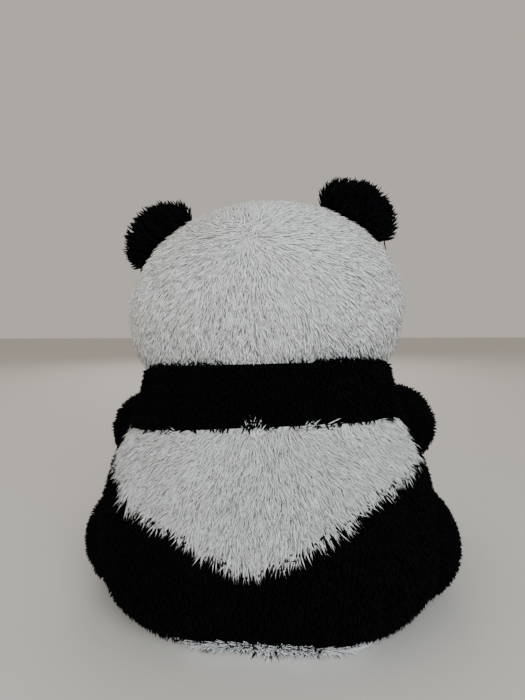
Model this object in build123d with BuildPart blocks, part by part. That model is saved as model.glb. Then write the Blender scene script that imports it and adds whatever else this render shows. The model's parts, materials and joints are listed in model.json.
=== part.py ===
"""A sitting plush panda, about 0.38 m tall, as sewn panels over stuffing.

Frame, in millimetres: +Z up, the base rests on Z = 0, the face looks along -Y and
the toy's own left is +X. The origin is the middle of the footprint.
"""

import os
from math import cos, radians, sin

from build123d import *

os.makedirs("parts", exist_ok=True)

# ---------------------------------------------------------------- driving sizes
SKIN = 5.0  # plush fabric with the dense foot of its pile
GAP = 0.4  # clearance between two bodies that move on each other
SIDES = {"left": 1, "right": -1}

# Torso: a pear, as squarish ovals (height, half width, half depth) about a common axis
TORSO_Y = 30.0
TORSO_SECTIONS = [
    (0, 102, 92),
    (14, 130, 110),
    (48, 146, 121),
    (92, 145, 117),
    (132, 134, 107),
    (170, 118, 94),
    (205, 107, 84),
    (240, 96, 72),
]
CORNER = 0.78  # corner radius of those ovals, as a share of their half depth
# The torso's top edge and the seam under its black yoke: height at the axis, rise towards the
# back, and degrees that the toy's left is lower by
RIM_Z, RIM_SLOPE, RIM_TILT = 208.0, 0.18, 1.5
YOKE_Z, YOKE_SLOPE, YOKE_TILT = 163.0, 0.13, 3.0
BASE_Z = 9.0  # seam round the base panel
# Lower edges of the pale back panels, from the middle seam outwards (distance from it, height).
# The toy sits askew, so the right one runs higher.
CHEVRON = {
    "left": [(0, 78), (30, 87), (70, 106), (104, 121), (124, 144)],
    "right": [(0, 78), (30, 91), (70, 119), (104, 138), (124, 146)],
}
CHEVRON_TOP_X, CHEVRON_SHOULDER_Z = 106.0, 186.0  # where the outer edge turns upright
SEAM_SETBACK = 2.0  # belly's side seams, in front of the back of the arms
PANEL_SETBACK = 7.0  # back panels' outer seams, behind the back of the arms
BAG_HALF_WIDTH, BAG_HALF_DEPTH, BAG_HEIGHT, BAG_ROUND = 60.0, 58.0, 30.0, 12.0
BAG_SHIFT, BAG_Z = 14.0, 12.0  # behind the torso's axis, and above the ground

# Head: a spheroid about its own X axis, rolled a little towards the toy's left
HEAD_CENTRE = (4.0, 14.0, 259.0)
HEAD_HALF_WIDTH, HEAD_RADIUS = 124.0, 99.0
HEAD_ROLL = 5.5
HEAD_TURNS = (-18, 0, 18)  # the head's limits and its middle, in degrees about the vertical
TURN_GAP = 1.0  # clearance round the head for that turn
NECK_RADIUS, NECK_BOTTOM, NECK_TOP = 38.0, 118.0, 199.0
DISH_RADIUS, DISH_Z = 70.0, 148.0  # the part of the yoke that lines the dish under the head

# Ears: half discs that stand square on the crown, in the head's own frame
EAR_ANGLE, EAR_Y = 40.0, -8.0
EAR_HALF_WIDTH, EAR_HEIGHT, EAR_THICKNESS = 35.0, 30.0, 12.0
EAR_FLAT = 0.6  # what the rounding leaves of the ear's edge, and its gap to the head
EAR_HINGE_INSET = 5.0  # the rolled hem at an ear's root ends this far inside its corners

# Face, in the head's own frame
EYE_X, EYE_Z, EYE_RADIUS = 41.0, 8.0, 8.0
EYE_CUT = 1.0  # how far behind its centre an eye is cut flat
EYE_TURN, EYE_LIFT = 0.33, 0.03  # how far an eye looks sideways and up, for each unit forwards
SHANK_RADIUS, SHANK_LENGTH, NOSE_SHANK = 2.4, 15.0, 26.0
WASHER_RADIUS, WASHER_THICKNESS = 7.0, 1.5
EYE_WASHER_DEPTH, NOSE_WASHER_DEPTH = 12.0, 20.0
WELL_RISE = 2.0  # how far the well for a shank opens in front of the eye's seat
PATCH_THICKNESS, PATCH_SHIFT = 2.5, 4.0  # a patch lies outside and below its eye by the shift
PATCH_HALF_WIDTH, PATCH_HALF_HEIGHT, PATCH_TILT = 19.0, 26.0, 28.0
MUZZLE_CENTRE, MUZZLE_HALF_WIDTH, MUZZLE_RADIUS = (0, -88, -20), 42.0, 32.0
NOSE_CENTRE, NOSE_HALF_WIDTH, NOSE_RADIUS = (0, -120, -7), 15.0, 10.0
STITCH_WIDTH, STITCH_RISE, LIP_DROP = 1.6, 1.2, 13.0
SMILE = [(0, -25), (8, -30), (17, -24)]  # one half of the mouth line, as (x, z) of the head

# Arms: tapered, from a shoulder ball to a paw ball, against a flat at the torso's side
ARM_FLAT_X = 86.0
SHOULDER = {"left": (124.0, -7.0, 140.0), "right": (121.0, -7.0, 148.0)}
ARM_RADIUS, PAW_RADIUS, ARM_LENGTH = 36.0, 32.0, 60.0
ARM_DROP, ARM_SPLAY = {"left": 7.0, "right": 20.0}, 6.0  # degrees below level, and outwards
ARM_BACK = SHOULDER["left"][1] + ARM_RADIUS + GAP

# Legs: from a hip ball to an upright foot, lying on the ground beside the torso
HIP_RADIUS, ANKLE_RADIUS, LEG_LENGTH = 48.0, 40.0, 140.0
HIP = (124.0, 38.0, HIP_RADIUS)
LEG_FLAT_X = HIP[0] - HIP_RADIUS - GAP
LEG_LEDGE = 5.0  # how far above the hip the torso's recess for the leg ends
LEG_DROP, LEG_SPLAY = 3.2, 4.0
FOOT_HALF_DEPTH, FOOT_RADIUS = 32.0, 45.0
FOOT_CENTRE = (134.0, -121.0, FOOT_RADIUS)
SOLE_Y, SOLE_THICKNESS, SOLE_RADIUS = -148.0, 3.0, 23.0

POLE_FLAT = 1.5  # degrees of a spheroid's profile that are flat at its poles
BIG = 400.0  # longer than anything in the model


# ---------------------------------------------------------------- shapes
def pear(inset):
    """The torso's outer form, drawn in by an inset on every side."""
    with BuildPart() as form:
        for height, half_width, half_depth in TORSO_SECTIONS:
            level = max(height, inset)
            with BuildSketch(Plane((0, TORSO_Y, level))):
                RectangleRounded(
                    2 * (half_width - inset),
                    2 * (half_depth - inset),
                    CORNER * half_depth - inset,
                )
        loft()
    return form.part


def spheroid(half_width, radius):
    """A solid of revolution about X, elliptical in profile, with a tiny flat at each pole."""
    end = half_width * cos(radians(POLE_FLAT))
    rise = radius * sin(radians(POLE_FLAT))
    with BuildPart() as form:
        with BuildSketch(Plane.XY):
            with BuildLine():
                EllipticalCenterArc(
                    (0, 0), half_width, radius, start_angle=POLE_FLAT, arc_size=180 - 2 * POLE_FLAT
                )
                Polyline((-end, rise), (-end, 0), (end, 0), (end, rise))
            make_face()
        revolve(axis=Axis.X)
    return form.part


def tapered(start_radius, end_radius, length, inset=0.0):
    """Two balls and the cone that touches both, along +Z from the first ball's centre."""
    lean = (start_radius - end_radius) / length
    rise = (1 - lean**2) ** 0.5
    r0, r1 = start_radius - inset, end_radius - inset
    touch0 = (r0 * rise, r0 * lean)
    touch1 = (r1 * rise, length + r1 * lean)
    with BuildPart() as form:
        with BuildSketch(Plane.XZ):
            with BuildLine():
                ThreePointArc((0, -r0), (r0 * cos(radians(40)), -r0 * sin(radians(40))), touch0)
                Line(touch0, touch1)
                ThreePointArc(
                    touch1, (r1 * cos(radians(50)), length + r1 * sin(radians(50))), (0, length + r1)
                )
                Line((0, length + r1), (0, -r0))
            make_face()
        revolve(axis=Axis.Z)
    return form.part


def limb_place(root, drop, splay, side):
    """Where a limb drawn along +Z goes: forwards from its root, down by drop, out by splay."""
    x, y, z = root
    forwards = Vector(
        side * sin(radians(splay)) * cos(radians(drop)),
        -cos(radians(splay)) * cos(radians(drop)),
        -sin(radians(drop)),
    )
    return Plane(origin=(side * x, y, z), z_dir=forwards).location


def save(part, name, colour):
    """Labels a finished piece and writes it as one STEP file."""
    part.label = name
    part.color = Color(colour)
    export_step(part, f"parts/{name}.step")


# ---------------------------------------------------------------- what the torso makes room for
head_place = Location(HEAD_CENTRE, (0, HEAD_ROLL, 0))


def head_room(extra, turns):
    """The head's form as it sweeps through these turns, grown by extra."""
    with BuildPart() as room:
        for turn in turns:
            body = spheroid(HEAD_HALF_WIDTH + extra, HEAD_RADIUS + extra)
            add(body.moved(Location(HEAD_CENTRE, (0, 0, turn)) * Location((0, 0, 0), (0, HEAD_ROLL, 0))))
    return room.part


def limb_room(extra):
    """The space beside the torso that the arms and legs swing in, grown by extra."""
    leg_back = HIP[1] + HIP_RADIUS + GAP + extra
    ledge = HIP[2] + HIP_RADIUS + LEG_LEDGE + extra
    with BuildPart() as room:
        for side in SIDES.values():
            with Locations((side * (ARM_FLAT_X - extra), ARM_BACK + extra, 0)):
                Box(
                    BIG, BIG, BIG,
                    align=(Align.MIN if side > 0 else Align.MAX, Align.MAX, Align.MIN),
                )
            with Locations((side * (LEG_FLAT_X - extra), leg_back, ledge)):
                Box(
                    BIG, BIG, BIG,
                    align=(Align.MIN if side > 0 else Align.MAX, Align.MAX, Align.MAX),
                )
    return room.part


def above(level, slope, tilt, lower=0.0):
    """Everything above a plane that rises towards the back by slope and drops to the left by tilt."""
    with BuildPart() as space:
        with BuildSketch(Plane.YZ.offset(-BIG)):
            with BuildLine():
                Polyline(
                    (TORSO_Y - BIG, level - lower - BIG * slope),
                    (TORSO_Y + BIG, level - lower + BIG * slope),
                    (TORSO_Y + BIG, level + BIG),
                    (TORSO_Y - BIG, level + BIG),
                    close=True,
                )
            make_face()
        extrude(amount=2 * BIG)
    return space.part.rotate(Axis((0, TORSO_Y, level), (0, 1, 0)), tilt)


# ---------------------------------------------------------------- neck plug
with BuildPart() as neck_plug:
    with Locations((HEAD_CENTRE[0], HEAD_CENTRE[1], NECK_BOTTOM)):
        Cylinder(NECK_RADIUS, NECK_TOP - NECK_BOTTOM, align=(Align.CENTER, Align.CENTER, Align.MIN))
    add(head_room(GAP, (0,)), mode=Mode.SUBTRACT)

# ---------------------------------------------------------------- torso
with BuildPart() as neck_room:
    with Locations((HEAD_CENTRE[0], HEAD_CENTRE[1], NECK_BOTTOM - GAP)):
        Cylinder(NECK_RADIUS + GAP, BIG, align=(Align.CENTER, Align.CENTER, Align.MIN))

with BuildPart() as pellet_bag:
    with BuildSketch(Plane((0, TORSO_Y + BAG_SHIFT, BAG_Z))):
        Ellipse(BAG_HALF_WIDTH, BAG_HALF_DEPTH)
    extrude(amount=BAG_HEIGHT)
    fillet(pellet_bag.edges().filter_by(GeomType.ELLIPSE), radius=BAG_ROUND)

with BuildPart() as torso_stuffing:
    add(pear(SKIN))
    add(above(RIM_Z, RIM_SLOPE, RIM_TILT, SKIN), mode=Mode.SUBTRACT)
    add(head_room(TURN_GAP + SKIN, HEAD_TURNS), mode=Mode.SUBTRACT)
    add(limb_room(SKIN), mode=Mode.SUBTRACT)

with BuildPart() as torso_skin:
    add(pear(0))
    add(above(RIM_Z, RIM_SLOPE, RIM_TILT), mode=Mode.SUBTRACT)
    add(head_room(TURN_GAP, HEAD_TURNS), mode=Mode.SUBTRACT)
    add(limb_room(0), mode=Mode.SUBTRACT)
    add(torso_stuffing.part, mode=Mode.SUBTRACT)
    add(neck_room.part, mode=Mode.SUBTRACT)

with BuildPart() as torso_filling:
    add(torso_stuffing.part)
    add(neck_room.part, mode=Mode.SUBTRACT)
    add(pellet_bag.part, mode=Mode.SUBTRACT)

with BuildPart() as base_panel:
    add(torso_skin.part)
    with Locations((0, 0, BASE_Z)):
        Box(2 * BIG, 2 * BIG, BIG, align=(Align.CENTER, Align.CENTER, Align.MAX), mode=Mode.INTERSECT)

with BuildPart() as yoke_space:
    add(above(YOKE_Z, YOKE_SLOPE, YOKE_TILT))
    with Locations((HEAD_CENTRE[0], HEAD_CENTRE[1], DISH_Z)):
        Cylinder(DISH_RADIUS, BIG, align=(Align.CENTER, Align.CENTER, Align.MIN))

with BuildPart() as yoke:
    add(torso_skin.part)
    add(yoke_space.part, mode=Mode.INTERSECT)

with BuildPart() as lower_skin:
    add(torso_skin.part)
    add(yoke.part, mode=Mode.SUBTRACT)
    add(base_panel.part, mode=Mode.SUBTRACT)

with BuildPart() as belly_panel:
    add(lower_skin.part)
    with Locations((0, ARM_BACK - SEAM_SETBACK, 0)):
        Box(2 * BIG, BIG, BIG, align=(Align.CENTER, Align.MAX, Align.MIN), mode=Mode.INTERSECT)

back_panels = {}
for name, side in SIDES.items():
    with BuildPart() as back_panel:
        add(lower_skin.part)
        with BuildSketch(Plane.XZ.offset(-ARM_BACK - PANEL_SETBACK)):
            with BuildLine():
                edge = [(side * x, z) for x, z in CHEVRON[name]]
                Spline(edge)
                Polyline(
                    edge[-1],
                    (side * CHEVRON_TOP_X, CHEVRON_SHOULDER_Z),
                    (side * CHEVRON_TOP_X, BIG),
                    (0, BIG),
                    edge[0],
                )
            make_face()
        extrude(amount=-BIG, mode=Mode.INTERSECT)
    back_panels[name] = back_panel.part

with BuildPart() as hip_band:
    add(lower_skin.part)
    add(belly_panel.part, mode=Mode.SUBTRACT)
    for panel in back_panels.values():
        add(panel, mode=Mode.SUBTRACT)

# ---------------------------------------------------------------- head
with BuildPart() as muzzle_form:
    add(spheroid(MUZZLE_HALF_WIDTH, MUZZLE_RADIUS).moved(Location(MUZZLE_CENTRE)))

eye_ratio = 1 - (EYE_X / HEAD_HALF_WIDTH) ** 2 - (EYE_Z / HEAD_RADIUS) ** 2
eye_y = -HEAD_RADIUS * eye_ratio**0.5 - PATCH_THICKNESS

eyes, washers, patches, wells = {}, {}, {}, []
for name, side in SIDES.items():
    outwards = Vector(side * EYE_TURN, -1, EYE_LIFT).normalized()
    seat = Plane(origin=(side * EYE_X, eye_y, EYE_Z), z_dir=outwards)
    with BuildPart() as eye:
        with Locations(seat.location):
            Sphere(EYE_RADIUS)
            with Locations((0, 0, -EYE_CUT)):
                Box(BIG, BIG, BIG, align=(Align.CENTER, Align.CENTER, Align.MAX), mode=Mode.SUBTRACT)
            Cylinder(SHANK_RADIUS, SHANK_LENGTH, align=(Align.CENTER, Align.CENTER, Align.MAX))
    eyes[name] = eye.part
    with BuildPart() as washer:
        with Locations(seat.location * Location((0, 0, -EYE_WASHER_DEPTH))):
            Cylinder(WASHER_RADIUS, WASHER_THICKNESS)
            Cylinder(SHANK_RADIUS, WASHER_THICKNESS * 2, mode=Mode.SUBTRACT)
    washers[name] = washer.part
    with BuildPart() as well:
        with Locations(seat.location * Location((0, 0, WELL_RISE))):
            Cylinder(
                WASHER_RADIUS,
                SHANK_LENGTH + WELL_RISE,
                align=(Align.CENTER, Align.CENTER, Align.MAX),
            )
    wells.append(well.part)
    with BuildPart() as patch:
        add(spheroid(HEAD_HALF_WIDTH + PATCH_THICKNESS, HEAD_RADIUS + PATCH_THICKNESS))
        add(spheroid(HEAD_HALF_WIDTH, HEAD_RADIUS), mode=Mode.SUBTRACT)
        with BuildSketch(Plane.XZ):
            with Locations((side * (EYE_X + PATCH_SHIFT), EYE_Z - PATCH_SHIFT)):
                Ellipse(PATCH_HALF_WIDTH, PATCH_HALF_HEIGHT, rotation=side * PATCH_TILT)
        extrude(amount=BIG, mode=Mode.INTERSECT)
        add(eye.part, mode=Mode.SUBTRACT)
        add(muzzle_form.part, mode=Mode.SUBTRACT)
    patches[name] = patch.part

with BuildPart() as nose:
    add(spheroid(NOSE_HALF_WIDTH, NOSE_RADIUS).rotate(Axis.X, 90).moved(Location(NOSE_CENTRE)))
    with Locations(Plane(origin=NOSE_CENTRE, z_dir=(0, 1, 0)).location):
        Cylinder(SHANK_RADIUS, NOSE_SHANK, align=(Align.CENTER, Align.CENTER, Align.MIN))

nose_x, nose_y, nose_z = NOSE_CENTRE
with BuildPart() as nose_washer:
    with Locations(Plane(origin=(nose_x, nose_y + NOSE_WASHER_DEPTH, nose_z), z_dir=(0, 1, 0)).location):
        Cylinder(WASHER_RADIUS, WASHER_THICKNESS)
        Cylinder(SHANK_RADIUS, WASHER_THICKNESS * 2, mode=Mode.SUBTRACT)

with BuildPart() as mouth_stitch:
    with BuildSketch(Plane.XZ.offset(-MUZZLE_CENTRE[1])):
        with Locations(SMILE[0]):
            Rectangle(STITCH_WIDTH, LIP_DROP, align=(Align.CENTER, Align.MIN))
        for side in SIDES.values():
            with BuildLine():
                ThreePointArc([(side * x, z) for x, z in SMILE])
                offset(amount=STITCH_WIDTH / 2, side=Side.BOTH)
            make_face()
    extrude(amount=BIG)
    around = spheroid(MUZZLE_HALF_WIDTH + STITCH_RISE, MUZZLE_RADIUS + STITCH_RISE)
    add(around.moved(Location(MUZZLE_CENTRE)), mode=Mode.INTERSECT)
    add(muzzle_form.part, mode=Mode.SUBTRACT)
    add(nose.part, mode=Mode.SUBTRACT)

with BuildPart() as muzzle:
    add(muzzle_form.part)
    add(spheroid(HEAD_HALF_WIDTH, HEAD_RADIUS), mode=Mode.SUBTRACT)
    add(nose.part, mode=Mode.SUBTRACT)
    add(nose_washer.part, mode=Mode.SUBTRACT)

head_filling = spheroid(HEAD_HALF_WIDTH - SKIN, HEAD_RADIUS - SKIN)
for well_part in wells:
    head_filling = head_filling - well_part

with BuildPart() as head_skin:
    add(spheroid(HEAD_HALF_WIDTH, HEAD_RADIUS))
    add(spheroid(HEAD_HALF_WIDTH - SKIN, HEAD_RADIUS - SKIN), mode=Mode.SUBTRACT)
    for piece in (*eyes.values(), *washers.values(), nose.part, nose_washer.part):
        add(piece, mode=Mode.SUBTRACT)

head_panels = {}
for name, side in SIDES.items():
    across = Align.MIN if side > 0 else Align.MAX
    for half, along in {"back": Align.MIN, "face": Align.MAX}.items():
        with BuildPart() as panel:
            add(head_skin.part)
            with Locations((0, EAR_Y, 0)):
                Box(BIG, BIG, BIG, align=(across, along, Align.CENTER), mode=Mode.INTERSECT)
        head_panels[f"head_{half}_{name}" if half == "back" else f"face_{name}"] = panel.part

# ---------------------------------------------------------------- ears
def ear_root(side):
    """The middle of an ear's hinge line, and the direction square to the head there."""
    across, up = cos(radians(EAR_ANGLE)), sin(radians(EAR_ANGLE))
    reach = ((across / HEAD_HALF_WIDTH) ** 2 + (up / HEAD_RADIUS) ** 2) ** -0.5
    out = Vector(side * across / HEAD_HALF_WIDTH**2, 0, up / HEAD_RADIUS**2).normalized()
    surface = Vector(side * across * reach, EAR_Y, up * reach)
    return surface + out * (EAR_THICKNESS / 2 + EAR_FLAT), out


ears = {}
for name, side in SIDES.items():
    root, out = ear_root(side)
    blade = Plane(origin=root, x_dir=out.cross(Vector(0, 1, 0)), z_dir=(0, 1, 0))
    with BuildPart() as ear:
        with BuildSketch(blade):
            Ellipse(EAR_HALF_WIDTH, EAR_HEIGHT)
            Rectangle(BIG, BIG, align=(Align.CENTER, Align.MAX), mode=Mode.SUBTRACT)
        extrude(amount=EAR_THICKNESS / 2, both=True)
        rim = ear.edges().filter_by(GeomType.ELLIPSE)
        fillet(rim, radius=EAR_THICKNESS / 2 - EAR_FLAT)
        with Locations(Location(blade.origin) * Location(Plane(origin=(0, 0, 0), z_dir=blade.x_dir))):
            Cylinder(EAR_THICKNESS / 2, 2 * (EAR_HALF_WIDTH - EAR_HINGE_INSET))
    for face, along in {"back": Align.MIN, "front": Align.MAX}.items():
        with BuildPart() as leaf:
            add(ear.part)
            with Locations((0, EAR_Y, 0)):
                Box(BIG, BIG, 2 * BIG, align=(Align.CENTER, along, Align.CENTER), mode=Mode.INTERSECT)
        ears[f"ear_{name}_{face}"] = leaf.part

# ---------------------------------------------------------------- arms
arms = {}
for name, side in SIDES.items():
    place = limb_place(SHOULDER[name], ARM_DROP[name], ARM_SPLAY, side)
    with BuildPart() as arm_filling:
        add(tapered(ARM_RADIUS, PAW_RADIUS, ARM_LENGTH, SKIN).moved(place))
        with Locations((side * (ARM_FLAT_X + GAP + SKIN), 0, 0)):
            Box(
                BIG, BIG, BIG,
                align=(Align.MIN if side > 0 else Align.MAX, Align.CENTER, Align.MIN),
                mode=Mode.INTERSECT,
            )
    with BuildPart() as arm_skin:
        add(tapered(ARM_RADIUS, PAW_RADIUS, ARM_LENGTH).moved(place))
        with Locations((side * (ARM_FLAT_X + GAP), 0, 0)):
            Box(
                BIG, BIG, BIG,
                align=(Align.MIN if side > 0 else Align.MAX, Align.CENTER, Align.MIN),
                mode=Mode.INTERSECT,
            )
        add(arm_filling.part, mode=Mode.SUBTRACT)
    arms[f"arm_{name}_stuffing"] = arm_filling.part
    arms[f"arm_{name}_skin"] = arm_skin.part

# ---------------------------------------------------------------- legs
def leg_form(side, inset):
    """Thigh, shin and upright foot in one, flat at the sole, drawn in by an inset."""
    foot = spheroid(FOOT_HALF_DEPTH - inset, FOOT_RADIUS - inset).rotate(Axis.Z, 90)
    with BuildPart() as form:
        add(
            tapered(HIP_RADIUS, ANKLE_RADIUS, LEG_LENGTH, inset).moved(
                limb_place(HIP, LEG_DROP, LEG_SPLAY, side)
            )
        )
        add(foot.moved(Location((side * FOOT_CENTRE[0], FOOT_CENTRE[1], FOOT_CENTRE[2]))))
        with Locations((0, SOLE_Y + inset, -BIG / 2)):
            Box(2 * BIG, BIG, BIG, align=(Align.CENTER, Align.MAX, Align.MIN), mode=Mode.SUBTRACT)
    return form.part


legs = {}
for name, side in SIDES.items():
    filling = leg_form(side, SKIN)
    with BuildPart() as leg_skin:
        add(leg_form(side, 0))
        add(filling, mode=Mode.SUBTRACT)
    with BuildPart() as foot_pad:
        with BuildSketch(Plane.XZ.offset(-SOLE_Y)):
            with Locations((side * FOOT_CENTRE[0], FOOT_CENTRE[2])):
                Circle(SOLE_RADIUS)
        extrude(amount=SOLE_THICKNESS)
    legs[f"leg_{name}_stuffing"] = filling
    legs[f"leg_{name}_skin"] = leg_skin.part
    legs[f"foot_pad_{name}"] = foot_pad.part

# ---------------------------------------------------------------- write the pieces
save(neck_plug.part, "neck_plug", "white")
save(torso_filling.part, "torso_stuffing", "white")
save(pellet_bag.part, "pellet_bag", "tan")
save(base_panel.part, "base_panel", "white")
save(yoke.part, "yoke", "black")
save(belly_panel.part, "belly_panel", "white")
save(hip_band.part, "hip_band", "black")
for name, panel in back_panels.items():
    save(panel, f"back_panel_{name}", "white")
for name, piece in {**arms, **legs}.items():
    save(piece, name, "black")

head_parts = {
    "head_stuffing": head_filling,
    "muzzle": muzzle.part,
    "nose": nose.part,
    "nose_washer": nose_washer.part,
    "mouth_stitch": mouth_stitch.part,
    **head_panels,
    **ears,
    **{f"eye_{name}": part for name, part in eyes.items()},
    **{f"eye_washer_{name}": part for name, part in washers.items()},
    **{f"eye_patch_{name}": part for name, part in patches.items()},
}
for name, piece in head_parts.items():
    save(piece.moved(head_place), name, "white")
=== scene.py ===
"""A sitting plush panda: sewn panels of long white and short black pile over stuffing.

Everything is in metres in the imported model's frame: +Z up, the face looks along -Y and
the toy's own left is +X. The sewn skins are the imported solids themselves. The pile that
grows on them is real geometry, one mesh of tapered locks for each panel.
"""

import json
import logging
from collections.abc import Callable
from dataclasses import dataclass, field, replace
from enum import Enum
from math import cos, pi, radians, sin, tan

import bpy
import numpy as np
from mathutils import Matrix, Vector
from mathutils.bvhtree import BVHTree
from mathutils.kdtree import KDTree

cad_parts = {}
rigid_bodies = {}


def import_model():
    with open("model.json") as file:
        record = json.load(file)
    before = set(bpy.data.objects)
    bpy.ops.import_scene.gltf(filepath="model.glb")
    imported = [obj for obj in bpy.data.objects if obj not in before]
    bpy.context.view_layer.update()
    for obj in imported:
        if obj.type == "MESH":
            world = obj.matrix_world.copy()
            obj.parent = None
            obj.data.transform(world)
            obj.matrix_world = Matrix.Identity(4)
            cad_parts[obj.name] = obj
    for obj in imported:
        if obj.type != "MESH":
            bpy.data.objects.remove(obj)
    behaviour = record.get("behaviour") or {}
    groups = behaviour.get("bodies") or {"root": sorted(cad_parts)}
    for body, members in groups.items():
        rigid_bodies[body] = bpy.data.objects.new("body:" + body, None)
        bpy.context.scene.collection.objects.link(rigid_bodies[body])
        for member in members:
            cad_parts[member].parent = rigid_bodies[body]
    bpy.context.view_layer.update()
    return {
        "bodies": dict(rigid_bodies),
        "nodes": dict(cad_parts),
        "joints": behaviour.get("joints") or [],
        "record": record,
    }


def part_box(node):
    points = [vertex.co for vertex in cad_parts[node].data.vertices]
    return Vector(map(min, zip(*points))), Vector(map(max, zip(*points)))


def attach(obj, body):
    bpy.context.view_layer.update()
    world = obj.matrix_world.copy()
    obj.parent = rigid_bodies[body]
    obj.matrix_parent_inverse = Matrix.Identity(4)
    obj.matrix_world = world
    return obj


log = logging.getLogger("panda")

Array = np.ndarray
Color = tuple[float, float, float]
Flow = Callable[[Array, Array], Array]
Growth = Callable[[Array], Array]

MM = 0.001
UP = np.array([0.0, 0.0, 1.0])


# ---------------------------------------------------------------- small vector helpers
def unit(vectors: Array) -> Array:
    """Scales each row to length one.

    Args:
        vectors: Rows of X, Y and Z.

    Returns:
        The rows at unit length, and zero rows left as they are.
    """
    lengths = np.linalg.norm(vectors, axis=-1, keepdims=True)
    return vectors / np.maximum(lengths, 1e-12)


def along_surface(vectors: Array, normals: Array) -> Array:
    """Takes out of each vector its part along the normal, and scales what is left to length one."""
    flat = vectors - np.sum(vectors * normals, axis=1, keepdims=True) * normals
    return unit(flat)


def smoothstep(low: float, high: float, values: Array) -> Array:
    """Rises smoothly from 0 at low to 1 at high."""
    share = np.clip((values - low) / (high - low), 0.0, 1.0)
    return share * share * (3.0 - 2.0 * share)


@dataclass(frozen=True)
class Drift:
    """A smooth random field over space: a few plane waves of mixed directions added up.

    The value at p is the mean over the waves of sin(2 pi (k . p) / wavelength + phase).
    """

    seed: int
    wavelength: float
    waves: int = 7

    def value(self, points: Array) -> Array:
        """Gives the field at each point, about -0.6 to 0.6."""
        rng = np.random.default_rng(self.seed)
        directions = unit(rng.normal(size=(self.waves, 3)))
        lengths = self.wavelength * rng.uniform(0.7, 1.6, self.waves)
        phases = rng.uniform(0.0, 2.0 * pi, self.waves)
        angles = points @ directions.T * (2.0 * pi / lengths) + phases
        return np.sin(angles).mean(axis=1) * np.sqrt(self.waves) * 0.5

    def vector(self, points: Array) -> Array:
        """Gives a vector of three independent fields at each point."""
        parts = [Drift(self.seed + 101 * axis, self.wavelength, self.waves) for axis in (1, 2, 3)]
        return np.stack([part.value(points) for part in parts], axis=1)


# ---------------------------------------------------------------- finishes
class Shade:
    """One socket of a material's node tree, with arithmetic that adds the nodes it needs."""

    def __init__(self, tree: bpy.types.NodeTree, socket: bpy.types.NodeSocket) -> None:
        """Keeps the tree and the output socket."""
        self.tree = tree
        self.socket = socket

    def _math(self, operation: str, other: "Shade | float") -> "Shade":
        """Adds a Math node of this operation."""
        node = self.tree.nodes.new("ShaderNodeMath")
        node.operation = operation
        self.tree.links.new(self.socket, node.inputs[0])
        if isinstance(other, Shade):
            self.tree.links.new(other.socket, node.inputs[1])
        else:
            node.inputs[1].default_value = other
        return Shade(self.tree, node.outputs[0])

    def __mul__(self, other: "Shade | float") -> "Shade":
        """Multiplies."""
        return self._math("MULTIPLY", other)

    def __add__(self, other: "Shade | float") -> "Shade":
        """Adds."""
        return self._math("ADD", other)

    def node(
        self, kind: str, into: str, out: str, **values: float | tuple[float, ...] | str
    ) -> "Shade":
        """Feeds this socket to any other node.

        Args:
            kind: The node's type name.
            into: The input that this socket goes to.
            out: The output that is given back.
            values: Properties, or input values with spaces written as underscores.

        Returns:
            That output.
        """
        node = self.tree.nodes.new(kind)
        for name, value in values.items():
            if hasattr(node, name) and isinstance(value, str):
                setattr(node, name, value)
            else:
                node.inputs[name.replace("_", " ")].default_value = value
        self.tree.links.new(self.socket, node.inputs[into])
        return Shade(self.tree, node.outputs[out])

    def between(self, low: Color, high: Color) -> "Shade":
        """Runs from one colour at 0 to another at 1."""
        mix = self.tree.nodes.new("ShaderNodeMix")
        mix.data_type = "RGBA"
        factor, first, second = (mix.inputs[index] for index in (0, 6, 7))
        first.default_value = (*low, 1.0)
        second.default_value = (*high, 1.0)
        self.tree.links.new(self.socket, factor)
        return Shade(self.tree, mix.outputs[2])


def new_material(name: str) -> tuple[bpy.types.Material, bpy.types.NodeTree, bpy.types.Node]:
    """Makes an empty Principled material.

    Args:
        name: The material's name.

    Returns:
        The material, its node tree and its Principled node.
    """
    material = bpy.data.materials.new(name)
    material.use_nodes = True
    tree = material.node_tree
    return material, tree, tree.nodes["Principled BSDF"]


def object_point(tree: bpy.types.NodeTree) -> Shade:
    """Gives the Object coordinate."""
    return Shade(tree, tree.nodes.new("ShaderNodeTexCoord").outputs["Object"])


@dataclass(frozen=True)
class Plain:
    """A finish of one colour with a fine woven or moulded grain."""

    name: str
    color: Color
    roughness: float
    grain: float = 900.0
    grain_height: float = 0.0002
    coat: float = 0.0
    specular: float = 0.5

    def material(self) -> bpy.types.Material:
        """Builds the material."""
        material, tree, shader = new_material(self.name)
        shader.inputs["Base Color"].default_value = (*self.color, 1.0)
        shader.inputs["Roughness"].default_value = self.roughness
        shader.inputs["Coat Weight"].default_value = self.coat
        shader.inputs["Specular IOR Level"].default_value = self.specular
        if self.grain_height:
            noise = object_point(tree).node("ShaderNodeTexNoise", "Vector", "Fac", Scale=self.grain)
            bump = noise.node("ShaderNodeBump", "Height", "Normal", Distance=self.grain_height)
            tree.links.new(bump.socket, shader.inputs["Normal"])
        return material


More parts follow.
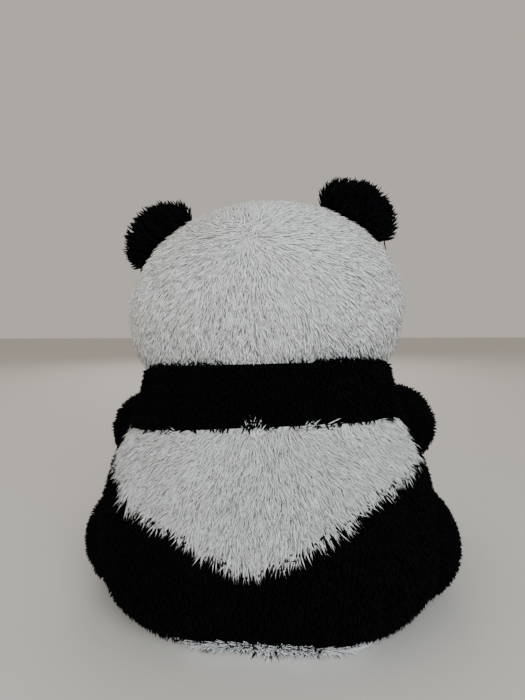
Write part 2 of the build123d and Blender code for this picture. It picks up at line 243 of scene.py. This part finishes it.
@dataclass(frozen=True)
class PileFinish:
    """A finish for locks of pile: dark at the foot as painted shade among the locks, pale at the tip, each
    lock its own tone.
    """

    PATCH_SCALE = 28.0

    name: str
    # foot is the dark colour of painted shade at the locks' feet; tip is the pile's own colour.
    foot: Color
    tip: Color
    roughness: float
    specular: float
    patchiness: float

    def material(self) -> bpy.types.Material:
        """Builds the material, which reads the locks' own tone."""
        material, tree, shader = new_material(self.name)
        tone_node = tree.nodes.new("ShaderNodeAttribute")
        tone_node.attribute_name = Lock.TONE
        tone = Shade(tree, tone_node.outputs["Fac"])
        patches = object_point(tree).node("ShaderNodeTexNoise", "Vector", "Fac", Scale=self.PATCH_SCALE)
        shade = tone + patches * self.patchiness + (-0.5 * self.patchiness)
        # The ramp from foot to tip paints shade at the locks' feet; the tones and patches add random
        # variation.
        tree.links.new(shade.between(self.foot, self.tip).socket, shader.inputs["Base Color"])
        shader.inputs["Roughness"].default_value = self.roughness
        shader.inputs["Specular IOR Level"].default_value = self.specular
        return material


class Finish(Enum):
    """Every finish on the toy."""

    # A pile's foot colour is painted shade at the locks' feet, and its tip colour is the pile's own.
    WHITE_PILE = PileFinish("white_pile", (0.50, 0.50, 0.50), (0.93, 0.94, 0.94), 0.8, 0.10, 0.14)
    # A darker copy of the white pile, painted shade on the back panels and the base fringe.
    SHADE_PAINTED_PILE = PileFinish("shade_painted_pile", (0.42, 0.42, 0.42), (0.79, 0.80, 0.81), 0.8, 0.10, 0.16)
    BLACK_PILE = PileFinish(
        "black_pile", (0.0012, 0.0012, 0.0014), (0.0045, 0.0045, 0.006), 0.95, 0.03, 0.2
    )
    # The white pile's backing cloth is mid grey, painted shade in the gaps between the locks.
    WHITE_CLOTH_SHADED = Plain("white_cloth_shaded", (0.56, 0.56, 0.55), 0.95, specular=0.1)
    BLACK_CLOTH = Plain("black_cloth", (0.0012, 0.0012, 0.0014), 0.95, specular=0.03)
    PAD = Plain("pad_fabric", (0.035, 0.035, 0.04), 0.9, 1500.0, 0.0003)
    STUFFING = Plain("stuffing", (0.85, 0.85, 0.83), 0.95, 300.0, 0.001)
    PELLET_BAG = Plain("pellet_bag", (0.72, 0.68, 0.58), 0.9, 1200.0, 0.0004)
    GLOSS_BLACK = Plain("gloss_black", (0.004, 0.004, 0.005), 0.16, 100.0, 0.0, specular=0.35)
    WASHER = Plain("washer", (0.78, 0.78, 0.76), 0.45, 400.0, 0.0)
    THREAD = Plain("thread", (0.012, 0.012, 0.013), 0.7, 1800.0, 0.0003)


MATERIALS: dict[Finish, bpy.types.Material] = {}


def dress(obj: bpy.types.Object, finish: Finish) -> None:
    """Gives an object one finish in place of what it has."""
    if finish not in MATERIALS:
        MATERIALS[finish] = finish.value.material()
    obj.data.materials.clear()
    obj.data.materials.append(MATERIALS[finish])


# ---------------------------------------------------------------- pile
@dataclass(frozen=True)
class Tufts:
    """How single locks join in tufts: the pull of each lock to its tuft's middle, and its tone."""

    SHARE = 7
    TONE_RANGE = 0.07

    pull: Array
    tones: Array

    @classmethod
    def gather(cls, roots: Array, normals: Array, strength: float, rng: np.random.Generator) -> "Tufts":
        """Sends every lock to the nearest of a few locks chosen as the middles of tufts.

        Args:
            roots: Where the locks start.
            normals: The outward normals there.
            strength: How much of the way to the middle a tip goes.
            rng: The source of the choice.

        Returns:
            The tufts.
        """
        count = max(1, len(roots) // cls.SHARE)
        middles = roots[rng.choice(len(roots), size=count, replace=False)]
        tree = KDTree(count)
        for index, middle in enumerate(middles.tolist()):
            tree.insert(middle, index)
        tree.balance()
        nearest = np.array([tree.find(root)[1] for root in roots.tolist()])
        way = middles[nearest] - roots
        way -= np.sum(way * normals, axis=1, keepdims=True) * normals
        return cls(way * strength, rng.uniform(-cls.TONE_RANGE, cls.TONE_RANGE, count)[nearest])


@dataclass(frozen=True)
class Lock:
    """One lock of pile, a closed tapered spike with a curve in it.

    RINGS gives the place along the curve and the girth of each triangle of vertices, and the
    tip closes the spike. The curve is
    root + length (t a + bend t^2 b) + t^1.5 g, where a is the way the lock starts, b the way it
    droops and g the way to the middle of the tuft that it belongs to.
    """

    TONE = "tone"
    RINGS = ((0.0, 1.0), (0.38, 0.95), (0.74, 0.62))
    SIDES = 3
    DROOP = 0.45
    LIFT_RANGE = (0.6, 1.4)
    LENGTH_RANGE = (0.75, 1.2)
    WIDTH_RANGE = (0.75, 1.25)
    TONE_RANGE = (-0.10, 0.07)
    TONE_RISE = 0.7
    GATHER_RISE = 1.5
    LOWEST = 0.2 * MM

    length: float
    width: float
    lift: float
    spread: float
    bend: float = 0.35
    flatness: float = 0.55
    # foot_tone darkens each lock towards its root, painted shade among the locks.
    foot_tone: float = 0.15
    tip_tone: float = 1.0

    def mesh(
        self,
        name: str,
        roots: Array,
        normals: Array,
        lay: Array,
        sizes: Array,
        tufts: Tufts,
        rng: np.random.Generator,
    ) -> bpy.types.Mesh:
        """Builds one mesh of all the locks.

        Args:
            name: The mesh's name.
            roots: Where the locks start, one row each.
            normals: The skin's outward normals there.
            lay: The unit direction along the skin that the pile lies in.
            sizes: Each lock's length against the usual one.
            tufts: Which way each lock gathers, and the tone of its tuft.
            rng: The source of the locks' own differences.

        Returns:
            The mesh, with each vertex's tone as an attribute: painted shade at each lock's foot, plus a
            random tone per lock.
        """
        count = len(roots)
        lift = radians(self.lift) * rng.uniform(*self.LIFT_RANGE, (count, 1))
        swing = rng.normal(0.0, radians(self.spread), (count, 1))
        across = np.cross(normals, lay)
        flat = lay * np.cos(swing) + across * np.sin(swing)
        start = unit(flat * np.cos(lift) + normals * np.sin(lift))
        side = unit(np.cross(start, normals))
        top = np.cross(start, side)
        droop = unit(flat - normals * self.DROOP)
        length = (self.length * sizes * rng.uniform(*self.LENGTH_RANGE, count))[:, None]
        width = self.width * rng.uniform(*self.WIDTH_RANGE, (count, 1))
        rows = []
        tones = []
        own = rng.uniform(*self.TONE_RANGE, count) + tufts.tones
        for place, girth in self.RINGS:
            middle = roots + length * (place * start + self.bend * place**2 * droop)
            middle = middle + place**self.GATHER_RISE * tufts.pull
            # The tone rises from foot to tip, painting shade at the locks' feet; own adds a random tone per
            # lock.
            tone = self.foot_tone + (self.tip_tone - self.foot_tone) * place**self.TONE_RISE + own
            for corner in range(self.SIDES):
                angle = 2.0 * pi * corner / self.SIDES
                reach = side * cos(angle) + top * (self.flatness * sin(angle))
                rows.append(middle + reach * width * girth * 0.5)
                tones.append(tone)
        rows.append(roots + length * (start + self.bend * droop) + tufts.pull)
        tones.append(self.tip_tone + own)
        vertices = np.stack(rows, axis=1)
        vertices[..., 2] = np.maximum(vertices[..., 2], self.LOWEST)
        mesh = repeated_mesh(name, vertices, ringed_faces(len(self.RINGS), self.SIDES, first_pole=False))
        attribute = mesh.attributes.new(self.TONE, "FLOAT", "POINT")
        attribute.data.foreach_set("value", np.stack(tones, axis=1).astype(np.float32).ravel())
        return mesh


def ringed_faces(rings: int, sides: int, first_pole: bool) -> Array:
    """Lists the triangles of a closed shape of rings of vertices that ends in a tip.

    The rings come first, then the tip, then the first pole where there is one. Without it the
    first ring, of three vertices, is closed by one triangle.

    Args:
        rings: How many rings.
        sides: How many vertices in a ring.
        first_pole: Whether the start also comes to a point.

    Returns:
        Rows of three vertex numbers.
    """
    faces = []
    tip = sides * rings
    last = sides * (rings - 1)
    for corner in range(sides):
        following = (corner + 1) % sides
        for low in range(0, last, sides):
            faces.append((low + corner, low + following, low + following + sides))
            faces.append((low + corner, low + following + sides, low + corner + sides))
        faces.append((last + corner, last + following, tip))
        if first_pole:
            faces.append((following, corner, tip + 1))
    if not first_pole:
        faces.append((0, 2, 1))
    return np.array(faces)


def repeated_mesh(name: str, vertices: Array, faces: Array) -> bpy.types.Mesh:
    """Joins many closed shapes of the same triangles in one mesh.

    Args:
        name: The mesh's name.
        vertices: Shapes by vertices by three.
        faces: The triangles of one shape.

    Returns:
        The mesh, shaded smooth.
    """
    count, per_shape = vertices.shape[:2]
    corners = (np.arange(count)[:, None, None] * per_shape + faces[None]).ravel()
    mesh = bpy.data.meshes.new(name)
    mesh.vertices.add(count * per_shape)
    mesh.vertices.foreach_set("co", vertices.astype(np.float32).ravel())
    mesh.loops.add(len(corners))
    mesh.loops.foreach_set("vertex_index", corners.astype(np.int32))
    mesh.polygons.add(len(corners) // 3)
    mesh.polygons.foreach_set("loop_start", np.arange(0, len(corners), 3, dtype=np.int32))
    mesh.update(calc_edges=True)
    mesh.polygons.foreach_set("use_smooth", np.ones(len(mesh.polygons), dtype=bool))
    return mesh


def stage_piece(name: str, mesh: bpy.types.Mesh, finish: Finish, body: str) -> bpy.types.Object:
    """Puts a mesh in the scene as a piece that rides on a body.

    Args:
        name: The piece's name.
        mesh: Its mesh, in place.
        finish: What it is made of.
        body: The body that it moves with.

    Returns:
        The piece.
    """
    obj = bpy.data.objects.new(name, mesh)
    bpy.context.scene.collection.objects.link(obj)
    dress(obj, finish)
    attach(obj, body)
    log.info("%s: %d faces, on %s", name, len(mesh.polygons), body)
    return obj


class Skins:
    """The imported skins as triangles, for finding where pile can grow."""

    OWN_REACH = 1.0
    OTHER_REACH = 0.012
    STEP_OFF = 0.00005

    def __init__(self, frame: dict) -> None:
        """Reads every node's triangles once."""
        self.nodes: dict[str, bpy.types.Object] = frame["nodes"]
        groups: dict[str, list[str]] = frame["record"]["behaviour"]["bodies"]
        self.body_of = {node: body for body, members in groups.items() for node in members}
        self.trees = {body: self._tree(members) for body, members in groups.items()}
        self.whole = self._tree(list(self.nodes))

    @staticmethod
    def _read(obj: bpy.types.Object) -> tuple[Array, Array]:
        """Gives a mesh's vertices and its triangles' vertex numbers."""
        mesh = obj.data
        mesh.calc_loop_triangles()
        points = np.empty(len(mesh.vertices) * 3, dtype=np.float32)
        mesh.vertices.foreach_get("co", points)
        corners = np.empty(len(mesh.loop_triangles) * 3, dtype=np.int32)
        mesh.loop_triangles.foreach_get("vertices", corners)
        return points.reshape(-1, 3).astype(float), corners.reshape(-1, 3)

    def _tree(self, names: list[str]) -> BVHTree:
        """Puts several nodes' triangles in one search tree."""
        points, corners, base = [], [], 0
        for name in names:
            own_points, own_corners = self._read(self.nodes[name])
            points.append(own_points)
            corners.append(own_corners + base)
            base += len(own_points)
        return BVHTree.FromPolygons(
            np.concatenate(points).tolist(), np.concatenate(corners).tolist(), all_triangles=True
        )

    def scatter(self, node: str, spacing: float, rng: np.random.Generator) -> tuple[Array, Array]:
        """Places points at random over a node's outside.

        Args:
            node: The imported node.
            spacing: The side of the square of skin that one point has, in metres.
            rng: The source of the places.

        Returns:
            The points, and the outward normals at them.
        """
        points, corners = self._read(self.nodes[node])
        a, b, c = (points[corners[:, k]] for k in range(3))
        cross = np.cross(b - a, c - a)
        area = np.linalg.norm(cross, axis=1) * 0.5
        count = int(area.sum() / spacing**2)
        chosen = rng.choice(len(area), size=count, p=area / area.sum())
        u = np.sqrt(rng.random(count))[:, None]
        v = rng.random(count)[:, None]
        places = a[chosen] * (1 - u) + b[chosen] * (u * (1 - v)) + c[chosen] * (u * v)
        normals = unit(cross)[chosen]
        keep = self._in_the_open(node, places, normals)
        return places[keep], normals[keep]

    def _in_the_open(self, node: str, places: Array, normals: Array) -> Array:
        """Finds the points that look out of their own body, with no other body right in front."""
        own = self.trees[self.body_of[node]]
        starts = places + normals * self.STEP_OFF
        keep = np.zeros(len(places), dtype=bool)
        for index, (start, normal) in enumerate(zip(starts.tolist(), normals.tolist())):
            if own.ray_cast(start, normal, self.OWN_REACH)[0] is not None:
                continue
            keep[index] = self.whole.ray_cast(start, normal, self.OTHER_REACH)[0] is None
        return keep


@dataclass(frozen=True)
class Coat:
    """The pile of one panel: what a lock is like, how close they stand, and which way they lie."""

    BROAD_SWIRL = Drift(7, 34 * MM)
    FINE_SWIRL = Drift(19, 11 * MM)
    FINE_SHARE = 0.9
    LENGTHS = Drift(31, 26 * MM)
    LENGTH_CHANGE = 0.18
    LOFTS = Drift(43, 60 * MM)
    LOFT = 0.9 * MM
    ROOT_DEPTH = 1.2 * MM

    lock: Lock
    spacing: float
    finish: Finish
    cloth: Finish
    slot: str
    ruffle: float = 0.35
    gather: float = 0.55

    def grow(
        self, skins: Skins, node: str, flow: Flow, seed: int, growth: Growth | None = None
    ) -> bpy.types.Object:
        """Grows the pile on a node.

        Args:
            skins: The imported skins.
            node: The node it grows on, which also gets its backing cloth's finish.
            flow: The way the pile lies, from points and normals.
            seed: Settles this panel's random draws.
            growth: Each lock's length against the usual one, from its root, where that differs.

        Returns:
            The pile, riding on the node's body.
        """
        rng = np.random.default_rng(seed)
        roots, normals = skins.scatter(node, self.spacing, rng)
        broad = self.BROAD_SWIRL.vector(roots) * self.ruffle
        fine = self.FINE_SWIRL.vector(roots) * (self.ruffle * self.FINE_SHARE)
        lay = along_surface(flow(roots, normals) + (broad + fine), normals)
        sizes = 1.0 + self.LENGTH_CHANGE * self.LENGTHS.value(roots)
        if growth is not None:
            sizes *= growth(roots)
        loft = self.LOFT * (1.0 + self.LOFTS.value(roots))
        roots = roots + normals * loft[:, None]
        tufts = Tufts.gather(roots, normals, self.gather, rng)
        feet = roots - normals * self.ROOT_DEPTH
        mesh = self.lock.mesh(f"pile_{node}", feet, normals, lay, sizes, tufts, rng)
        obj = stage_piece(f"pile_{node}", mesh, self.finish, skins.body_of[node])
        # The backing cloth shows between the locks; under white pile its grey is painted shade.
        dress(skins.nodes[node], self.cloth)
        return obj


LONG_WHITE = Coat(
    Lock(11.5 * MM, 1.5 * MM, 22.0, 14.0),
    1.75 * MM, Finish.WHITE_PILE, Finish.WHITE_CLOTH_SHADED, "white_pile",
)
# The back panels' pile uses the darker copy of the white pile, painted shade.
SHADE_PAINTED_WHITE = replace(LONG_WHITE, finish=Finish.SHADE_PAINTED_PILE)
SHORT_BLACK = Coat(
    Lock(5.5 * MM, 1.9 * MM, 50.0, 30.0, 0.2, foot_tone=0.1, tip_tone=0.8),
    2.2 * MM, Finish.BLACK_PILE, Finish.BLACK_CLOTH, "black_pile", 0.6, 0.3,
)
EAR_TUFTS = Coat(
    Lock(10.0 * MM, 2.4 * MM, 50.0, 22.0, 0.15, foot_tone=0.1, tip_tone=0.9),
    1.9 * MM, Finish.BLACK_PILE, Finish.BLACK_CLOTH, "black_pile", 0.4,
)
PATCH_PILE = Coat(
    Lock(7.0 * MM, 1.9 * MM, 30.0, 18.0, foot_tone=0.1, tip_tone=0.8),
    1.6 * MM, Finish.BLACK_PILE, Finish.BLACK_CLOTH, "black_pile", 0.3,
)
MUZZLE_PILE = Coat(
    Lock(6.5 * MM, 1.7 * MM, 24.0, 14.0),
    1.6 * MM, Finish.WHITE_PILE, Finish.WHITE_CLOTH_SHADED, "white_pile", 0.2,
)


# ---------------------------------------------------------------- sub-assemblies
@dataclass
class Torso:
    """The body: shoulder yoke, pale back shield, lower band, belly and base."""

    skins: Skins
    axis_y: float = 30 * MM
    seam_height: float = 163 * MM
    seam_slope: float = 0.13
    seam_tilt: float = radians(3.0)
    brushing: Drift = Drift(57, 26 * MM)
    # The fringe under the base uses the darker copy of the white pile, painted shade.
    base_fringe: Coat = Coat(
        Lock(15.0 * MM, 2.0 * MM, 16.0, 16.0, 0.15),
        1.6 * MM, Finish.SHADE_PAINTED_PILE, Finish.WHITE_CLOTH_SHADED, "white_pile", 0.35, 0.7,
    )

    @staticmethod
    def downwards(points: Array, normals: Array) -> Array:
        """Pile that hangs straight down."""
        return np.tile(-UP, (len(points), 1))

    def parted(self, points: Array, normals: Array) -> Array:
        """Pile that hangs down and away from the middle seam, more so higher up and further out."""
        lean = 0.25 + 0.75 * smoothstep(90 * MM, 170 * MM, points[:, 2])
        away = np.sign(points[:, 0]) * smoothstep(0.0, 50 * MM, np.abs(points[:, 0])) * lean
        upwards = 1.6 * self.brushed_up(points) - 1.0
        return np.stack([away, np.zeros(len(points)), upwards], axis=1)

    def brushed_up(self, points: Array) -> Array:
        """Tells, from 0 to 1, where the pile under the yoke's seam is brushed up over it.

        The seam is the plane that rises towards the back by its slope and drops to the toy's
        left by its tilt.
        """
        back = points[:, 1] - self.axis_y
        seam = self.seam_height + self.seam_slope * back - tan(self.seam_tilt) * points[:, 0]
        brushed = smoothstep(0.15, 0.40, self.brushing.value(points))
        return smoothstep(-6.0 * MM, -3.0 * MM, points[:, 2] - seam) * brushed

    def shorter_at_seam(self, points: Array) -> Array:
        """Makes the locks that are brushed up short, and leaves the rest at full length."""
        return 1.0 - 0.35 * self.brushed_up(points)

    def outwards(self, points: Array, normals: Array) -> Array:
        """Pile that spreads from under the base, and a little upwards behind its middle."""
        flow = points - np.array([0.0, self.axis_y, 0.0])
        flow[:, 2] = 20 * MM * (1.0 - smoothstep(0.0, 50 * MM, np.abs(points[:, 0] + 10 * MM)))
        return unit(flow)

    @staticmethod
    def behind(points: Array) -> Array:
        """Full length under the middle of the back, and worn short all round the rest."""
        middle = 1.0 - smoothstep(45 * MM, 95 * MM, np.abs(points[:, 0] + 10 * MM))
        return 0.12 + 0.88 * middle * smoothstep(60 * MM, 120 * MM, points[:, 1])

    def build(self) -> None:
        """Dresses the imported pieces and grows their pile."""
        SHORT_BLACK.grow(self.skins, "yoke", self.downwards, 11)
        SHORT_BLACK.grow(self.skins, "hip_band", self.downwards, 12)
        LONG_WHITE.grow(self.skins, "belly_panel", self.downwards, 13)
        for seed, side in ((14, "left"), (15, "right")):
            SHADE_PAINTED_WHITE.grow(
                self.skins, f"back_panel_{side}", self.parted, seed, self.shorter_at_seam
            )
        self.base_fringe.grow(self.skins, "base_panel", self.outwards, 16, self.behind)
        dress(self.skins.nodes["torso_stuffing"], Finish.STUFFING)
        dress(self.skins.nodes["neck_plug"], Finish.STUFFING)
        dress(self.skins.nodes["pellet_bag"], Finish.PELLET_BAG)


HEAD_CENTRE = np.array([4.0, 14.0, 259.0]) * MM


@dataclass
class Head:
    """The head's four panels, with the face's eyes, patches, muzzle, nose and mouth."""

    skins: Skins
    whorl: Array = field(default_factory=lambda: HEAD_CENTRE + np.array([10.0, 80.0, 78.0]) * MM)
    nose: Array = field(default_factory=lambda: HEAD_CENTRE + np.array([0.0, -118.0, -6.0]) * MM)
    muddle: Drift = Drift(83, 7 * MM)
    parting_width: float = 10 * MM

    def back(self, points: Array, normals: Array) -> Array:
        """Pile that spreads from the whorl on the crown and then hangs.

        Close to the whorl it lies every way, and further down it parts at the middle seam.
        """
        distance = np.linalg.norm(points - self.whorl, axis=1)
        hang = smoothstep(30 * MM, 150 * MM, distance)
        near = 1.0 - smoothstep(5 * MM, 30 * MM, distance)
        flow = unit(points - self.whorl) + np.outer(hang, -0.55 * UP)
        flow += 2.2 * self.muddle.vector(points) * near[:, None]
        off_seam = points[:, 0] - HEAD_CENTRE[0]
        flow[:, 0] += 0.45 * np.sign(off_seam) * np.exp(-((off_seam / self.parting_width) ** 2)) * hang
        return flow

    def face(self, points: Array, normals: Array) -> Array:
        """Pile that spreads from the nose."""
        return unit(points - self.nose)

    def build(self) -> None:
        """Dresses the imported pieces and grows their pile."""
        for seed, side in ((21, "left"), (22, "right")):
            LONG_WHITE.grow(self.skins, f"head_back_{side}", self.back, seed)
            LONG_WHITE.grow(self.skins, f"face_{side}", self.face, seed + 10)
            PATCH_PILE.grow(self.skins, f"eye_patch_{side}", self.face, seed + 20)
            dress(self.skins.nodes[f"eye_{side}"], Finish.GLOSS_BLACK)
            dress(self.skins.nodes[f"eye_washer_{side}"], Finish.WASHER)
        MUZZLE_PILE.grow(self.skins, "muzzle", self.face, 51)
        dress(self.skins.nodes["nose"], Finish.GLOSS_BLACK)
        dress(self.skins.nodes["nose_washer"], Finish.WASHER)
        dress(self.skins.nodes["mouth_stitch"], Finish.THREAD)
        dress(self.skins.nodes["head_stuffing"], Finish.STUFFING)


@dataclass
class Ear:
    """One ear of two leaves, with loose tufts."""

    skins: Skins
    side: str
    root: Array = field(default_factory=lambda: HEAD_CENTRE * np.array([1.0, 0.0, 1.0]))

    def fan(self, points: Array, normals: Array) -> Array:
        """Pile that fans out from above the head's centre."""
        return unit(points - self.root)

    def build(self, seed: int) -> None:
        """Grows the tufts of both leaves."""
        for offset, leaf in enumerate(("back", "front")):
            EAR_TUFTS.grow(self.skins, f"ear_{self.side}_{leaf}", self.fan, seed + offset)


@dataclass
class Limb:
    """An arm or a leg: one stuffed skin, and a foot pad on a leg."""

    skins: Skins
    name: str
    pad: str | None = None
    lay: tuple[float, float, float] = (0.0, -0.8, -0.6)
    stitch_count: int = 44
    stitch_length: float = 2.4 * MM
    stitch_width: float = 0.9 * MM
    stitch_inset: float = 1.8 * MM

    def forwards(self, points: Array, normals: Array) -> Array:
        """Pile that runs along the limb and a little down."""
        return np.tile(self.lay, (len(points), 1))

    def build(self, seed: int) -> None:
        """Grows the limb's pile and dresses its filling and pad."""
        SHORT_BLACK.grow(self.skins, f"{self.name}_skin", self.forwards, seed)
        dress(self.skins.nodes[f"{self.name}_stuffing"], Finish.STUFFING)
        if self.pad is not None:
            dress(self.skins.nodes[self.pad], Finish.PAD)
            self.stitch_round(self.pad)

    def stitch_round(self, pad: str) -> bpy.types.Object:
        """Sews a ring of stitches just inside a pad's edge.

        A stitch is an ellipsoid: at share t of its half length its girth is the square root of
        1 - t^2.

        Args:
            pad: The pad's node, a disc that faces forwards.

        Returns:
            The stitches, riding on the limb.
        """
        low, high = (np.array(corner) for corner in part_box(pad))
        middle = (low + high) / 2
        middle[1] = low[1]
        radius = (high[0] - low[0]) / 2 - self.stitch_inset
        angles = np.arange(self.stitch_count) * (2.0 * pi / self.stitch_count)
        zero = np.zeros_like(angles)
        outwards = np.stack([np.cos(angles), zero, np.sin(angles)], axis=1)
        along = np.stack([-np.sin(angles), zero, np.cos(angles)], axis=1)
        front = np.array([0.0, -1.0, 0.0])
        across = np.cross(front, along)
        places, sides = (-0.85, -0.4, 0.4, 0.85), 6
        centres = middle + radius * outwards
        rows = []
        for place in places:
            ring = centres + along * (self.stitch_length / 2 * place)
            girth = self.stitch_width / 2 * (1.0 - place**2) ** 0.5
            for side in range(sides):
                angle = 2.0 * pi * side / sides
                rows.append(ring + girth * (across * cos(angle) + front * sin(angle)))
        rows.append(centres + along * (self.stitch_length / 2))
        rows.append(centres - along * (self.stitch_length / 2))
        name = f"{pad}_stitches"
        mesh = repeated_mesh(name, np.stack(rows, axis=1), ringed_faces(len(places), sides, first_pole=True))
        return stage_piece(name, mesh, Finish.THREAD, self.name)


# ---------------------------------------------------------------- studio
@dataclass(frozen=True)
class Lamp:
    """A soft square lamp aimed at the middle of the toy."""

    name: str
    place: tuple[float, float, float]
    size: float
    power: float
    color: Color
    target: tuple[float, float, float] = (0.0, 0.0, 0.18)

    def hang(self) -> None:
        """Adds the lamp."""
        light = bpy.data.lights.new(self.name, "AREA")
        light.size = self.size
        light.energy = self.power
        light.color = self.color
        lamp = bpy.data.objects.new(self.name, light)
        bpy.context.scene.collection.objects.link(lamp)
        lamp.location = self.place
        aim = Vector(self.target) - Vector(self.place)
        lamp.rotation_euler = aim.to_track_quat("-Z", "Y").to_euler()


@dataclass(frozen=True)
class Studio:
    """A pale floor, soft light and a camera behind the toy."""

    floor_size: float = 6.0
    floor_finish: Plain = Plain("floor", (0.62, 0.60, 0.57), 0.8, 100.0, 0.0)
    lamps: tuple[Lamp, ...] = (
        Lamp("window", (-0.4, 1.15, 0.75), 0.9, 15.0, (0.84, 0.94, 1.0)),
        Lamp("fill", (1.0, 0.9, 0.5), 1.2, 4.5, (1.0, 0.92, 0.82)),
        Lamp("front", (0.2, -1.4, 1.0), 1.4, 9.0, (1.0, 0.98, 0.95)),
    )
    sky: Color = (0.86, 0.79, 0.70)
    sky_strength: float = 0.62
    camera_place: tuple[float, float, float] = (-0.038, 0.513, 0.274)
    camera_pitch: float = -5.75
    camera_roll: float = 0.5
    camera_yaw: float = 5.1
    lens: float = 27.05
    sensor: float = 36.0
    near: float = 0.02

    def build(self) -> None:
        """Adds the floor, the lights, the sky and the camera."""
        bpy.ops.mesh.primitive_plane_add(size=self.floor_size)
        floor = bpy.context.object
        floor.name = "floor"
        floor.data.materials.append(self.floor_finish.material())
        for lamp in self.lamps:
            lamp.hang()
        world = bpy.data.worlds.new("room")
        world.use_nodes = True
        background = world.node_tree.nodes["Background"]
        background.inputs["Color"].default_value = (*self.sky, 1.0)
        background.inputs["Strength"].default_value = self.sky_strength
        bpy.context.scene.world = world
        self._camera()

    def _camera(self) -> None:
        """Adds the camera."""
        data = bpy.data.cameras.new("camera")
        data.lens = self.lens
        data.sensor_width = self.sensor
        data.clip_start = self.near
        camera = bpy.data.objects.new("camera", data)
        bpy.context.scene.collection.objects.link(camera)
        camera.location = self.camera_place
        camera.rotation_euler = (
            radians(90.0 + self.camera_pitch),
            radians(self.camera_roll),
            radians(180.0 + self.camera_yaw),
        )
        bpy.context.scene.camera = camera


def main() -> None:
    """Builds the toy and the studio in order."""
    logging.basicConfig(level=logging.INFO, format="%(message)s")
    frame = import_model()
    skins = Skins(frame)
    Torso(skins).build()
    Head(skins).build()
    for seed, side in ((61, "left"), (71, "right")):
        Ear(skins, side).build(seed)
        Limb(skins, f"arm_{side}").build(seed + 3)
        Limb(skins, f"leg_{side}", f"foot_pad_{side}").build(seed + 5)
    Studio().build()


if __name__ == "__main__":
    main()
